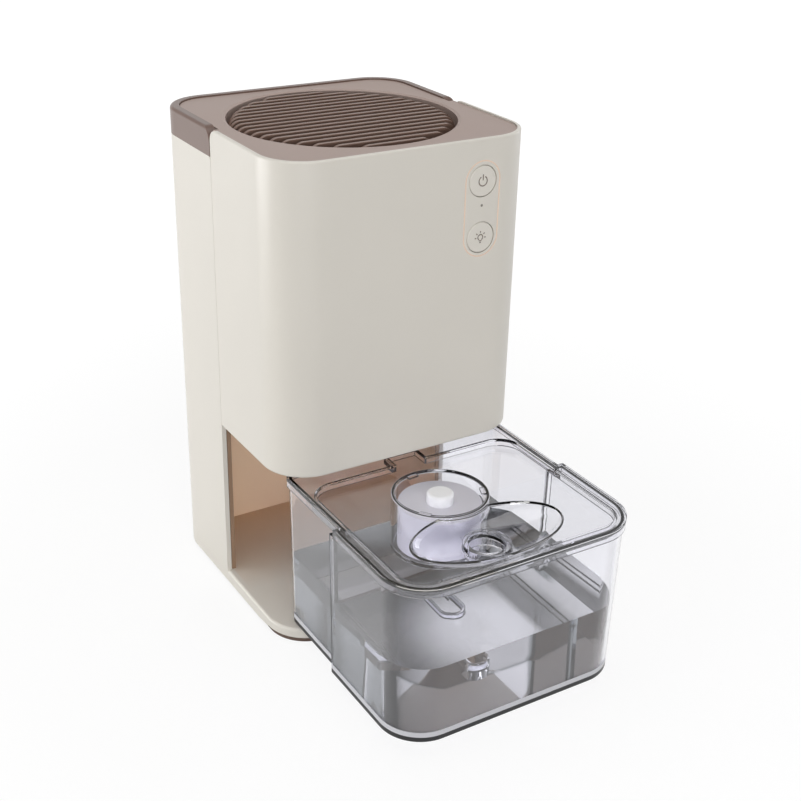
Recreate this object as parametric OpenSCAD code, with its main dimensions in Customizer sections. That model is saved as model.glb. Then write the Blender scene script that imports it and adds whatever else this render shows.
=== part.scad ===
// Compact thermoelectric dehumidifier with a pull-out water tank.
// Millimetres. +Z is up and -Y is the control side. The origin lies on the standing surface,
// below the middle of the body. The tank and what rides on it are drawn pushed home and are
// then moved forward by tank_pull.

/* [Body] */
// Width of the body, side to side
body_w = 140; // [138:1:146]
// Depth of the body, front to back
body_d = 140; // [138:1:146]
// Height of the shells above the foot plate
body_h = 253.4; // [250:0.2:260]
// Radius of the four upright corners
corner_r = 23; // [21:0.5:25]
// Thickness of the moulded shell walls
wall_t = 2.5; // [2.2:0.1:2.8]
// Radius of the softened shell edges
edge_r = 1.6; // [1:0.1:1.8]
// Where the front and rear shells meet, measured back from the middle
seam_y = 3; // [1:0.5:5]
// Gap along the shell seam
seam_gap = 0.3; // [0.2:0.05:0.5]
// Radius of the front shell's upper rear corner, seen from the side
shell_notch_r = 6; // [4:0.5:8]

/* [Base and bay] */
// Thickness of the foot plate
foot_t = 3; // [2.6:0.1:3.6]
// Inset of the foot plate from the body's outline
foot_inset = 1.8; // [1.6:0.1:2.4]
// Diameter of the anti-slip pads
pad_d = 12; // [8:0.5:14]
// Depth of the anti-slip pads
pad_t = 1.2; // [0.8:0.1:1.6]
// Distance of the pads from the middle, both ways
pad_at = 50; // [46:1:52]
// Thickness of the base plate under the tank
base_t = 5.6; // [5.2:0.1:6.4]
// Clear height of the tank bay
bay_h = 89.8; // [88:0.2:92]
// Distance from the bay's rear wall to the back of the body
rear_space = 16; // [15.5:0.5:17]
// Thickness of the bay liner
liner_t = 2.2; // [1.8:0.1:2.4]
// Radius of the liner's rear corners
liner_r = 9.5; // [9:0.5:10]
// Thickness of the bay roof
roof_t = 2; // [1.6:0.1:2.6]

/* [Top] */
// Height of the brown rear trim
trim_h = 13.7; // [12:0.1:15]
// Width of the rear trim's rim, seen from above
trim_rim = 4.7; // [4.2:0.1:5.4]
// Radius of the trim's upper front corner, seen from the side
trim_notch_r = 7.5; // [5:0.5:9]
// Width of the front shell's rim round the top panel
shell_rim = 1.9; // [1.5:0.1:2.1]
// How far the top panel lies below the rim
panel_drop = 0.8; // [0.4:0.1:1.2]
// Thickness of the top panel
panel_t = 2.4; // [2:0.1:3]
// Width of the top panel round the round air outlet
outlet_rim = 12.5; // [12:0.5:15]
// Depth of the outlet collar
collar_h = 13; // [12:0.5:14]
// Distance from one slat to the next
slat_pitch = 6.1; // [5.6:0.1:7]
// Thickness of a slat
slat_t = 2.3; // [1.8:0.1:2.8]
// Radius of the slats' down-turned ends
slat_end_r = 6; // [4:0.5:7]

/* [Controls] */
// Distance of the control pill's middle from the right side
pill_side = 32.2; // [32:0.2:36]
// Width of the control pill
pill_w = 20; // [19:0.2:22]
// Height of the control pill
pill_l = 48; // [46:0.5:50]
// Distance of the pill's middle below the top
pill_drop = 34.4; // [33:0.2:38]
// Width of the metal pill outline
bezel_w = 0.6; // [0.5:0.1:0.9]
// Diameter of a push button
button_d = 15.3; // [14:0.1:15.6]
// Distance between the two buttons
button_pitch = 28; // [26:0.5:28.5]
// Clearance round a button
button_gap = 0.3; // [0.25:0.05:0.4]
// Travel of a button
button_travel = 0.8; // [0.5:0.1:1]
// Diameter of the status light
light_pipe_d = 1.3; // [1:0.1:2]

/* [Water tank] */
// How far the tank is drawn out
tank_pull = 107; // [90:0.2:110]
// How far the tank's front part stands in from the sides of the body
lid_inset = 3.6; // [3.2:0.1:4.4]
// How far the lid and the tank step in at the rear, each side
lid_step_in = 3.2; // [2.6:0.1:4]
// Thickness of the tank's walls and floor
tank_t = 1.6; // [1.5:0.1:1.8]
// How much narrower the tank is at its foot, each side
tank_draft = 1.2; // [0.6:0.1:1.6]
// Height of the runners under the tank
runner_h = 1.5; // [1:0.1:2]
// Gap under the runners
runner_gap = 0.3; // [0.2:0.05:0.4]
// Gap between the lid and the bay roof
lid_clear = 2.4; // [1.8:0.1:3]
// Height of the lid's outer band
lid_band = 5; // [4.4:0.1:5.4]
// Thickness of the lid
lid_t = 1.8; // [1.5:0.1:2]
// Thickness of the lid's skirt
skirt_t = 1; // [0.9:0.1:1.2]
// Depth of the recess in the lid
recess_h = 4; // [3.6:0.1:5]
// Width of the lid's rim at its sides
rim_side = 7.3; // [7.1:0.1:8]
// Width of the lid's rim at the front
rim_front = 6.4; // [6.2:0.1:8]
// Width of the lid's rim at the rear
rim_rear = 19.4; // [18:0.1:21]
// Length of the drip bowl
bowl_l = 81; // [76:1:82]
// Width of the drip bowl, front to back
bowl_w = 42.4; // [40:0.1:44]
// Thickness of the drip bowl
bowl_t = 1.3; // [1:0.1:1.5]
// Depth of the drip bowl below the recess
bowl_h = 10; // [9:0.5:12]
// Outer diameter of the drain collar in the bowl
collar_d = 23.6; // [21:0.2:25]
// Bore of the drain
drain_d = 18.4; // [16:0.2:19]

/* [Float] */
// Outer radius of the float well
well_r = 24.3; // [23:0.1:24.6]
// Depth of the float well below the lid
well_h = 29; // [26:0.1:31]
// Wall of the float well
well_t = 1.6; // [1.3:0.1:1.8]
// Radius of the float
float_r = 20.8; // [19.6:0.1:21]
// How far the float's knob stands up
knob_h = 5.6; // [4:0.2:6]
// Rise of the float when the tank is full
float_rise = 3.5; // [2:0.1:3.6]
// Diameter of the float's knob
knob_d = 13.6; // [12:0.2:15]

/* [Fan] */
// Thickness of the fan
fan_h = 25; // [24:0.5:25.4]
// Distance of the fan's screws from the edge of its frame
fan_screw_in = 4.75; // [4.5:0.05:5]
// Radius of the fan's hub
hub_r = 19; // [18:0.5:20]
// Number of fan blades
blade_n = 7; // [5:1:9]
// Diameter of the fan's shaft
shaft_d = 3; // [2.5:0.1:3.5]

/* [Cooling stack] */
// Length of the hot fins
hot_fin = 32; // [26:1:36]
// Width of the cold heat sink
cold_w = 60; // [54:1:64]
// Width of the cooling module
module_w = 40; // [36:1:44]
// Thickness of the cooling module
module_t = 3.9; // [3.4:0.1:4.4]

/* [Hidden] */
$fn = 64;

// Colours
cream = [0.87, 0.85, 0.80];
brown = [0.58, 0.51, 0.47];
dark_brown = [0.40, 0.33, 0.29];
tan = [0.66, 0.56, 0.47];
copper = [0.84, 0.69, 0.56];
clear = [0.80, 0.82, 0.88, 0.45];
alloy = [0.75, 0.76, 0.78];
board_green = [0.16, 0.38, 0.26];
black = [0.12, 0.12, 0.13];
white = [0.95, 0.95, 0.96];
steel = [0.60, 0.61, 0.63];

// Fits
fit = 0.3;          // clear fit between separate mouldings
snug = 0.05;        // radial fit of a pin or screw in its hole
cut = 1;            // overshoot of a cutting solid

// Levels and half sizes of the body
half_w = body_w / 2;
half_d = body_d / 2;
z_base = foot_t;
z_skirt = 1.4;                      // lower edge of the base at its sides and back
skirt_y = corner_r - half_d;
skirt_run = 14;
z_deck = z_base + base_t;
z_roof = z_deck + bay_h;
z_top = z_base + body_h;
z_trim = z_top - trim_h;
z_panel = z_top - panel_drop;
z_seat = z_panel - panel_t;
shelf_t = 2;                       // shelf that carries the top panel
shelf_in = 6;                      // its inner edge, from the body's outline
front_end = seam_y - seam_gap / 2;
rear_start = seam_y + seam_gap / 2;

// Housing screws
screw_r = 1.45;
screw_in = 15;                      // from the side of the body
screw_x = half_w - screw_in;
screw_low = z_roof + 17;
screw_high = z_trim - 11;
boss_r = 3.5;
boss_len = 12;
tube_r = 4;
tube_bore_r = 3.1;
tube_end_t = 5;
head_r = 2.8;
head_t = 2;

// Screws under the foot plate
foot_screw_x = 34;
foot_screw_y = half_d - 14;
foot_head_deep = 1.8;

// Top trim and outlet
grille_r = min(half_w, half_d) - outlet_rim;
trim_start = rear_start + 0.5;
lip_t = 1.6;                       // lip of the outlet collar, which carries the grille
lip_w = 3;

// Back of the body
inlet_rows = 12;
inlet_pitch = 5.5;
inlet_slot = 2.6;
inlet_l = 22;
inlet_gap = 5;
inlet_mid = (z_roof + z_trim) / 2;
jack_x = half_w - 30;
jack_z = z_deck + 19.4;
jack_r = 4;
jack_w = 11;
jack_depth = 10.5;
socket_r = 2.75;
socket_depth = 9.5;
contact_r = 1;

// Bay liner and roof
liner_out = half_w - wall_t - fit;
liner_in = liner_out - liner_t;
liner_y = half_d - rear_space;
window_l = 40;
window_d = 6;
window_lip = 2;
window_lip_t = 1;
led_w = 3.5;
led_t = 1.4;
led_pitch = window_l * 0.35;
board_t = 1.6;
lead_slot_l = 60;
lead_slot_d = 8;

// Air duct
duct_gap = 1;                       // to the screw tubes
duct_w = 2 * (screw_x - tube_r - duct_gap);
duct_front_room = 20;               // from the duct to the front of the body
duct_back_room = 22;                // from the duct to the back of the body
duct_front = duct_front_room - half_d;
duct_back = half_d - duct_back_room;
duct_t = 2;
duct_top_t = 2.5;
fan_head_gap = 2.1;                 // room for the screw heads under the outlet
z_fan = z_panel - collar_h - fan_head_gap - fan_h;
z_duct = z_roof + roof_t;
duct_inlet = 72;
duct_inlet_h = 10;
window_y = duct_back - 12;

// Fan
fan_side = 5;                       // from the frame to the screw tubes
fan_w = 2 * (screw_x - tube_r - fan_side);
fan_screw_pitch = fan_w - 2 * fan_screw_in;
fan_bore = fan_w / 2 - 1.5;
duct_hole_r = fan_w / 2 - 3;
strut_t = 2.5;
z_strut = z_fan + strut_t;
z_hub_top = z_fan + fan_h - 1.5;
cup_t = 1.5;
shaft_end = z_strut + 2;
ring_h = 12;                        // magnet ring in the hub
ring_rise = 4;
coil_h = 8;

// Cooling stack, from the front to the back
cold_base_t = 4;
hot_base_t = 5;
stack_y = -17;
stack_head = 3;                     // from the hot heat sink up to the duct's top
stack_foot = 13;                    // from the drip tray up to the hot heat sink
tray_h = 17;
hot_low = z_duct + tray_h + stack_foot;
hot_h = z_fan - duct_top_t - stack_head - hot_low;
z_stack = hot_low + hot_h / 2;
hot_w = duct_w - 2 * duct_t - 6;
cold_h = hot_h * 0.75;
cold_gap = 5;                       // from the cold fins to the duct's front wall
cold_fin = stack_y - cold_base_t - cold_gap - duct_front - duct_t;
ledge_w = 5;
ledge_t = 3;

// Tank and lid, drawn pushed home
lid_half = half_w - lid_inset;
lid_rear_half = lid_half - lid_step_in;
lid_front = -half_d;
lid_step = -5;                      // where the lid steps in
tank_step = seam_y - 1;             // where the tank below it steps in
lid_back_gap = 0.6;                 // to the liner when pushed home
lid_back = liner_y - lid_back_gap;
lid_back_r = liner_r - liner_t - lid_back_gap;
z_lid = z_roof - lid_clear;
z_lip = z_lid - lid_t;
z_ledge = z_lid - lid_band - fit;    // top of the tank where it is wider than the lid
z_recess = z_lid - recess_h;
z_panel_under = z_recess - lid_t;
tank_in = skirt_t + 0.2;
z_tank = z_deck + runner_gap + runner_h;
tank_mid = (lid_front + lid_back) / 2;
recess_r = 13;
recess_front = lid_front + rim_front;
recess_back = lid_back - rim_rear;
recess_half = lid_half - rim_side;
recess_t = lid_rear_half - tank_in - tank_t - fit - recess_half;
notch_w = 17;
notch_d = 10;
well_y = recess_back - well_r - 3.4;
bowl_lap = 4.2;                     // how far the float well cuts into the oval bowl
bowl_y = well_y - well_r + bowl_lap - bowl_w / 2;
collar_rise = 3.5;
drain_spout = 3;
z_bowl = z_recess - bowl_h;
rib_y = -8;                        // U-shaped rib on the tank's floor

// Drip nozzle, straight above the bowl when the tank is home
drip_y = bowl_y;
nozzle_r = 4.5;
nozzle_bore = 3;

// Float and its well
z_well = z_panel_under - well_h;
well_in = well_r - well_t;
port_r = 2.5;
z_float = z_well + well_t + fit;
float_t = 1.5;
tab_w = 6;                          // tabs in the lid that hold the float in its well
tab_t = 1;
tab_in = float_r - 0.7;
float_stop = 0.4;                   // left above the risen float
z_float_top = z_panel_under - float_rise - float_stop;
magnet_r = 4;
magnet_h = 2;

// Controls
pill_x = half_w - pill_side;
z_pill = z_top - pill_drop;
z_power = z_pill + button_pitch / 2 - 0.2;
z_light = z_pill - button_pitch / 2 - 0.2;
z_status = z_pill + 1.8;
bezel_t = 0.6;
bezel_proud = 0.1;
button_proud = 0.1;
flange_r = button_d / 2 + 1.2;
flange_t = 1.2;
stem_r = 2;
plunger_r = 1.7;
plunger_h = 0.6;
switch_w = 6;
switch_h = 2;
inner_front = -half_d + wall_t;
flange_y = inner_front + fit;
stem_end = flange_y + flange_t + 1.4;
plunger_y = stem_end + button_travel + fit;
switch_y = plunger_y + plunger_h;
board_y = switch_y + switch_h;
board_w = 34;
board_l = 58;
board_screw_x = 13;
board_screw_z = 24;
board_screw_r = 1;
board_screw_deep = 4.6;

// A rounded rectangle, centred
module plan(w, d, r) {
    union() {
        square([w - 2 * r, d], center = true);
        square([w, d - 2 * r], center = true);
        for (sx = [-1, 1], sy = [-1, 1])
            translate([sx * (w / 2 - r), sy * (d / 2 - r)])
                circle(r);
    }
}

// The body's outline, drawn in by an even amount
module body_plan(inset) {
    plan(body_w - 2 * inset, body_d - 2 * inset, corner_r - inset);
}

// A flat plate with the body's outline between two heights
module body_slab(inset, z0, z1) {
    translate([0, 0, z0])
        linear_extrude(z1 - z0)
            body_plan(inset);
}

// Half of an upright section, with its outer corners rounded
module edge_section(half, h, low_r, high_r) {
    union() {
        square([half - low_r, low_r]);
        translate([0, low_r])
            square([half, h - low_r - high_r]);
        translate([0, h - high_r])
            square([half - high_r, high_r]);
        translate([half - low_r, low_r])
            circle(low_r);
        translate([half - high_r, h - high_r])
            circle(high_r);
    }
}

module whole_section(half, h, low_r, high_r) {
    union() {
        edge_section(half, h, low_r, high_r);
        mirror([1, 0])
            edge_section(half, h, low_r, high_r);
    }
}

// The body's outline as a solid block whose upper and lower edges are rounded
module soft_block(z0, z1, low_r, high_r) {
    h = z1 - z0;
    translate([0, 0, z0])
        union() {
            for (sx = [-1, 1], sy = [-1, 1])
                translate([sx * (half_w - corner_r), sy * (half_d - corner_r), 0])
                    rotate_extrude()
                        edge_section(corner_r, h, low_r, high_r);
            rotate([90, 0, 90])
                linear_extrude(body_w - 2 * corner_r, center = true)
                    whole_section(half_d, h, low_r, high_r);
            rotate([90, 0, 0])
                linear_extrude(body_d - 2 * corner_r, center = true)
                    whole_section(half_w, h, low_r, high_r);
        }
}

// All that lies in front of the seam, with a rounded upper rear corner
module front_zone(z0, z1, y1, r) {
    rotate([90, 0, 90])
        linear_extrude(body_w + 2 * cut, center = true)
            intersection() {
                translate([-half_d - cut, z0])
                    square([half_d + cut + y1, z1 - z0 + cut]);
                union() {
                    translate([-half_d - cut, z0])
                        square([half_d + cut + y1, z1 - r - z0]);
                    translate([-half_d - cut, z0])
                        square([half_d + cut + y1 - r, z1 - z0 + cut]);
                    translate([y1 - r, z1 - r])
                        circle(r);
                }
            }
}

// All that lies behind the seam
module rear_zone(z0, z1, y0, r) {
    mirror([0, 1, 0])
        front_zone(z0, z1, -y0, r);
}

// A stadium outline in the plane of the front face
module pill(w, l) {
    union() {
        square([w, l - w], center = true);
        for (s = [-1, 1])
            translate([0, s * (l - w) / 2])
                circle(w / 2);
    }
}

// Places a flat outline on the front: x stays, y becomes z, and it is drawn back from y0 to y1
module on_front(x, z, y0, y1) {
    translate([x, y1, z])
        rotate([90, 0, 0])
            linear_extrude(y1 - y0)
                children();
}

// A rod along Y
module rod_y(x, z, y0, y1, r) {
    translate([x, y0, z])
        rotate([-90, 0, 0])
            cylinder(h = y1 - y0, r = r);
}

module front_shell() {
    color(cream)
        difference() {
            union() {
                difference() {
                    intersection() {
                        soft_block(z_roof, z_top, edge_r, shell_rim * 0.45);
                        front_zone(z_roof - cut, z_top, front_end, shell_notch_r);
                    }
                    body_slab(wall_t, z_roof - cut, z_seat - shelf_t);
                    body_slab(shelf_in, z_roof, z_seat + cut);
                    body_slab(shell_rim, z_seat, z_top + cut);
                }
                // Bosses that take the housing screws, each tied to its side wall
                for (s = [-1, 1], z = [screw_low, screw_high]) {
                    rod_y(s * screw_x, z, front_end - boss_len, front_end, boss_r);
                    translate([s * (screw_x + half_w - wall_t / 2) / 2, front_end - boss_len / 2, z])
                        cube([half_w - wall_t / 2 - screw_x, boss_len, 2], center = true);
                }
                // Bosses that carry the control board
                for (sx = [-1, 1], sz = [-1, 1])
                    rod_y(pill_x + sx * board_screw_x, z_pill + sz * board_screw_z,
                        inner_front - wall_t / 2, board_y, 2.4);
            }
            for (s = [-1, 1], z = [screw_low, screw_high])
                rod_y(s * screw_x, z, front_end - boss_len + 2, front_end + cut, screw_r + snug);
            for (sx = [-1, 1], sz = [-1, 1])
                rod_y(pill_x + sx * board_screw_x, z_pill + sz * board_screw_z,
                    board_y - board_screw_deep - 0.4, board_y + cut, board_screw_r + snug);
            for (z = [z_power, z_light])
                rod_y(pill_x, z, -half_d - cut, inner_front + cut, button_d / 2 + button_gap);
            rod_y(pill_x, z_status, -half_d - cut, inner_front + cut, light_pipe_d / 2 + snug);
            on_front(pill_x, z_pill, -half_d - cut, -half_d + bezel_t - bezel_proud)
                difference() {
                    pill(pill_w, pill_l);
                    pill(pill_w - 2 * bezel_w, pill_l - 2 * bezel_w);
                }
        }
}

module rear_housing() {
    color(cream)
        difference() {
            union() {
                // Base plate that runs out under the tank
                soft_block(z_base, z_deck, 0.8, edge_r);
                // Skirt that hides the foot plate at the sides and the back
                difference() {
                    intersection() {
                        soft_block(z_skirt, z_deck, 0.8, edge_r);
                        rotate([90, 0, 90])
                            linear_extrude(body_w, center = true)
                                polygon([[skirt_y, z_base], [skirt_y + skirt_run, z_skirt],
                                    [half_d, z_skirt], [half_d, z_deck], [skirt_y, z_deck]]);
                    }
                    body_slab(foot_inset - fit, z_skirt - cut, z_base);
                }
                difference() {
                    intersection() {
                        soft_block(z_base, z_trim + edge_r + cut, 0.8, edge_r);
                        rear_zone(z_base - cut, z_trim - cut, rear_start, 0.5);
                    }
                    body_slab(wall_t, z_deck, z_trim + edge_r + 2 * cut);
                }
                // Screw tubes from the back wall to the seam
                for (s = [-1, 1], z = [screw_low, screw_high])
                    rod_y(s * screw_x, z, rear_start, half_d - wall_t - 1, tube_r);
            }
            for (s = [-1, 1], z = [screw_low, screw_high]) {
                rod_y(s * screw_x, z, rear_start + tube_end_t, half_d + cut, tube_bore_r);
                rod_y(s * screw_x, z, rear_start - cut, half_d, screw_r + snug);
            }
            // Air inlet slots in the back wall
            for (row = [0 : inlet_rows - 1], col = [-1 : 1])
                translate([col * (inlet_l + inlet_gap), half_d + cut,
                    inlet_mid + (row - (inlet_rows - 1) / 2) * inlet_pitch])
                    rotate([90, 0, 0])
                        linear_extrude(wall_t + 2 * cut)
                            rotate(90)
                                pill(inlet_slot, inlet_l);
            rod_y(jack_x, jack_z, half_d - wall_t - cut, half_d + cut, jack_r + snug);
            for (sx = [-1, 1], sy = [-1, 1])
                translate([sx * foot_screw_x, sy * foot_screw_y, z_base - cut])
                    cylinder(h = 4 + cut, r = screw_r + snug);
        }
}

module foot_plate() {
    color(dark_brown)
        difference() {
            body_slab(foot_inset, 0, z_base);
            for (sx = [-1, 1], sy = [-1, 1]) {
                translate([sx * pad_at, sy * pad_at, -cut])
                    cylinder(h = pad_t + cut, d = pad_d);
                translate([sx * foot_screw_x, sy * foot_screw_y, -cut])
                    cylinder(h = z_base + 2 * cut, r = screw_r + snug);
                translate([sx * foot_screw_x, sy * foot_screw_y, -cut])
                    cylinder(h = foot_head_deep + cut, r = head_r + fit);
            }
        }
}

module anti_slip_pads() {
    color(black)
        for (sx = [-1, 1], sy = [-1, 1])
            translate([sx * pad_at, sy * pad_at, 0])
                cylinder(h = pad_t, d = pad_d);
}

module foot_screws() {
    color(steel)
        for (sx = [-1, 1], sy = [-1, 1])
            translate([sx * foot_screw_x, sy * foot_screw_y, 0])
                difference() {
                    union() {
                        translate([0, 0, 0.4])
                            cylinder(h = foot_head_deep - 0.4, r = head_r);
                        translate([0, 0, 1])
                            cylinder(h = z_base + 2.4, r = screw_r);
                    }
                    cube([2.6, 0.6, 2], center = true);
                    cube([0.6, 2.6, 2], center = true);
                }
}

module housing_screws() {
    color(steel)
        for (s = [-1, 1], z = [screw_low, screw_high])
            difference() {
                union() {
                    rod_y(s * screw_x, z, front_end - boss_len + 3, rear_start + tube_end_t + 1, screw_r);
                    rod_y(s * screw_x, z, rear_start + tube_end_t, rear_start + tube_end_t + head_t, head_r);
                }
                translate([s * screw_x, rear_start + tube_end_t + head_t, z])
                    cube([3, 2, 0.7], center = true);
                translate([s * screw_x, rear_start + tube_end_t + head_t, z])
                    cube([0.7, 2, 3], center = true);
            }
}

module rear_trim() {
    color(brown)
        difference() {
            intersection() {
                soft_block(z_trim - edge_r - cut, z_top, 0.5, edge_r);
                rear_zone(z_trim, z_top, trim_start, trim_notch_r);
            }
            body_slab(wall_t, z_trim - cut, z_seat - shelf_t);
            body_slab(shelf_in + 2, z_trim, z_seat + cut);
            body_slab(trim_rim, z_seat, z_top + cut);
        }
}

module top_panel() {
    front_inset = shell_rim + 0.2;
    rear_inset = trim_rim + 0.3;
    color(brown)
        difference() {
            union() {
                intersection() {
                    body_slab(front_inset, z_seat, z_panel);
                    translate([-half_w, -half_d, z_seat - cut])
                        cube([body_w, half_d + front_end, panel_t + 2 * cut]);
                }
                body_slab(rear_inset, z_seat, z_panel);
                translate([0, 0, z_panel - collar_h])
                    cylinder(h = collar_h - panel_t / 2, r = grille_r + 1.8);
            }
            translate([0, 0, z_panel - collar_h + lip_t])
                cylinder(h = collar_h, r = grille_r);
            translate([0, 0, z_panel - collar_h - cut])
                cylinder(h = collar_h, r = grille_r - lip_w);
            // Dished edge round the outlet
            translate([0, 0, z_panel - 0.7])
                cylinder(h = 1.4, r1 = grille_r - 0.2, r2 = grille_r + 3.2);
        }
}

// A slat seen from the front: its upper corners turn down in a wide curve
module slat_side(half, h, r) {
    intersection() {
        union() {
            translate([-half, 0])
                square([2 * half, h - r]);
            translate([-(half - r), 0])
                square([2 * (half - r), h]);
            for (s = [-1, 1])
                translate([s * (half - r), h - r])
                    circle(r);
        }
        translate([-half, 0])
            square([2 * half, h]);
    }
}

module top_grille() {
    ring_r = grille_r - fit;
    z_ring = z_panel - collar_h + lip_t;
    ring_t = 2;
    slat_h = collar_h - lip_t - 0.4;
    slat_room = 2.4;
    slat_n = 2 * floor((grille_r - slat_room) / slat_pitch);
    slat_inset = 0.4;
    rib_x = 26;
    color(brown)
        translate([0, 0, z_ring])
            union() {
                difference() {
                    cylinder(h = ring_t, r = ring_r);
                    translate([0, 0, -cut])
                        cylinder(h = ring_t + 2 * cut, r = ring_r - lip_w);
                }
                for (i = [0 : slat_n - 1])
                    let (y = (i - (slat_n - 1) / 2) * slat_pitch,
                        reach = abs(y) + slat_t / 2,
                        half = sqrt(pow(ring_r - slat_inset, 2) - reach * reach))
                        translate([0, y + slat_t / 2, 0])
                            rotate([90, 0, 0])
                                linear_extrude(slat_t)
                                    slat_side(half, slat_h, slat_end_r);
                for (s = [-1, 0, 1])
                    translate([s * rib_x - 1, -sqrt(pow(ring_r - 1, 2) - pow(rib_x + 1, 2)), 0])
                        cube([2, 2 * sqrt(pow(ring_r - 1, 2) - pow(rib_x + 1, 2)), 5]);
            }
}

// Outline of the bay liner: a U that is open to the front
module liner_plan(half, back, r) {
    union() {
        translate([-half, rear_start])
            square([2 * half, back - r - rear_start]);
        translate([-(half - r), rear_start])
            square([2 * (half - r), back - rear_start]);
        for (s = [-1, 1])
            translate([s * (half - r), back - r])
                circle(r);
    }
}

module bay_liner() {
    color(tan)
        translate([0, 0, z_deck])
            difference() {
                linear_extrude(bay_h)
                    liner_plan(liner_out, liner_y + liner_t, liner_r);
                translate([0, -cut, -cut])
                    linear_extrude(bay_h + 2 * cut)
                        liner_plan(liner_in, liner_y + cut, liner_r - liner_t);
            }
}

module bay_roof() {
    color(dark_brown)
        difference() {
            body_slab(wall_t + fit, z_roof, z_duct);
            translate([0, drip_y, z_roof - cut])
                cylinder(h = roof_t + 2 * cut, r = nozzle_r + fit);
            translate([-window_l / 2, window_y - window_d / 2, z_roof - cut])
                cube([window_l, window_d, roof_t + 2 * cut]);
            // Way for the leads down to the power jack
            translate([-lead_slot_l / 2, liner_y + liner_t + 1, z_roof - cut])
                cube([lead_slot_l, lead_slot_d, roof_t + 2 * cut]);
        }
}

module light_window() {
    color(white)
        union() {
            translate([-window_l / 2 + 0.1, window_y - window_d / 2 + 0.1, z_roof])
                cube([window_l - 0.2, window_d - 0.2, roof_t + 0.2]);
            translate([-window_l / 2 - window_lip, window_y - window_d / 2 - window_lip, z_duct])
                cube([window_l + 2 * window_lip, window_d + 2 * window_lip, window_lip_t]);
        }
}

module night_light_board() {
    z_led = z_duct + window_lip_t;
    color(white)
        union() {
            for (i = [-1 : 1])
                translate([i * led_pitch - led_w / 2, window_y - led_w / 2, z_led])
                    cube([led_w, led_w, led_t]);
            translate([-window_l / 2 - 2 * window_lip, window_y - window_d / 2 - window_lip, z_led + led_t])
                cube([window_l + 4 * window_lip, window_d + 2 * window_lip, board_t]);
        }
}

module level_sensor() {
    sensor_l = 24;
    sensor_d = 12;
    reed_l = 16;
    reed_r = 1.2;
    color(board_green)
        union() {
            translate([-sensor_l / 2, well_y - sensor_d / 2, z_duct])
                cube([sensor_l, sensor_d, board_t]);
            translate([-reed_l / 2, well_y, z_duct + board_t + reed_r * 0.8])
                rotate([0, 90, 0])
                    cylinder(h = reed_l, r = reed_r);
        }
}

module drip_tray() {
    tray_w = 78;
    tray_d = 2 * (drip_y - duct_front - duct_t - fit);
    tray_t = 2;
    floor_t = 2.5;
    color(cream)
        translate([0, drip_y, z_duct])
            difference() {
                union() {
                    linear_extrude(tray_h)
                        plan(tray_w, tray_d, 5);
                    translate([0, 0, -roof_t])
                        cylinder(h = roof_t + cut, r = nozzle_r);
                }
                // Hopper that falls towards the nozzle
                hull() {
                    translate([0, 0, tray_h - 6])
                        linear_extrude(6 + cut)
                            plan(tray_w - 2 * tray_t, tray_d - 2 * tray_t, 3, $fn = 32);
                    translate([0, 0, floor_t])
                        cylinder(h = 0.1, r = nozzle_bore, $fn = 32);
                }
                translate([0, 0, -roof_t - cut])
                    cylinder(h = roof_t + floor_t + 2 * cut, r = nozzle_bore);
            }
}

module air_duct() {
    depth = duct_back - duct_front;
    mid_y = (duct_back + duct_front) / 2;
    top = z_fan - duct_top_t;
    color([0.80, 0.80, 0.80])
        union() {
            difference() {
                translate([0, mid_y, z_duct])
                    linear_extrude(z_fan - z_duct)
                        plan(duct_w, depth, 6);
                translate([0, mid_y, z_duct - cut])
                    linear_extrude(top - z_duct + cut)
                        plan(duct_w - 2 * duct_t, depth - 2 * duct_t, 4);
                translate([0, 0, top - cut])
                    cylinder(h = duct_top_t + 2 * cut, r = duct_hole_r);
                // Air inlets low in the front and back walls
                translate([-duct_inlet / 2, duct_front - cut, z_duct + tray_h + 3])
                    cube([duct_inlet, depth + 2 * cut, duct_inlet_h]);
                for (sx = [-1, 1], sy = [-1, 1])
                    translate([sx * fan_screw_pitch / 2, sy * fan_screw_pitch / 2, top - cut])
                        cylinder(h = duct_top_t + 2 * cut, r = screw_r + snug);
            }
            // Ledges that carry the cooling stack
            for (s = [-1, 1])
                translate([s * (duct_w / 2 - duct_t / 2 - ledge_w / 2) - ledge_w / 2,
                    stack_y - 2, hot_low - ledge_t])
                    cube([ledge_w, module_t + hot_base_t + 4, ledge_t]);
        }
}

module hot_heat_sink() {
    fin_n = 17;
    fin_t = 1.2;
    y0 = stack_y + module_t;
    color(alloy)
        translate([0, y0, hot_low])
            union() {
                translate([-hot_w / 2, 0, 0])
                    cube([hot_w, hot_base_t, hot_h]);
                for (i = [0 : fin_n - 1])
                    translate([-hot_w / 2 + i * (hot_w - fin_t) / (fin_n - 1), 0, 0])
                        cube([fin_t, hot_base_t + hot_fin, hot_h]);
            }
}

module cold_heat_sink() {
    fin_n = 13;
    fin_t = 1;
    color(alloy)
        translate([0, stack_y - cold_base_t, z_stack - cold_h / 2])
            union() {
                translate([-cold_w / 2, 0, 0])
                    cube([cold_w, cold_base_t, cold_h]);
                for (i = [0 : fin_n - 1])
                    translate([-cold_w / 2 + i * (cold_w - fin_t) / (fin_n - 1), -cold_fin, 0])
                        cube([fin_t, cold_fin + cold_base_t, cold_h]);
            }
}

module cooling_module() {
    color(white)
        translate([-module_w / 2, stack_y, z_stack - module_w / 2])
            cube([module_w, module_t, module_w]);
}

module insulation_frame() {
    color(black)
        translate([0, stack_y + module_t, z_stack])
            rotate([90, 0, 0])
                linear_extrude(module_t)
                    difference() {
                        square([cold_w, cold_h], center = true);
                        square(module_w + 2 * fit, center = true);
                    }
}

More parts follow.
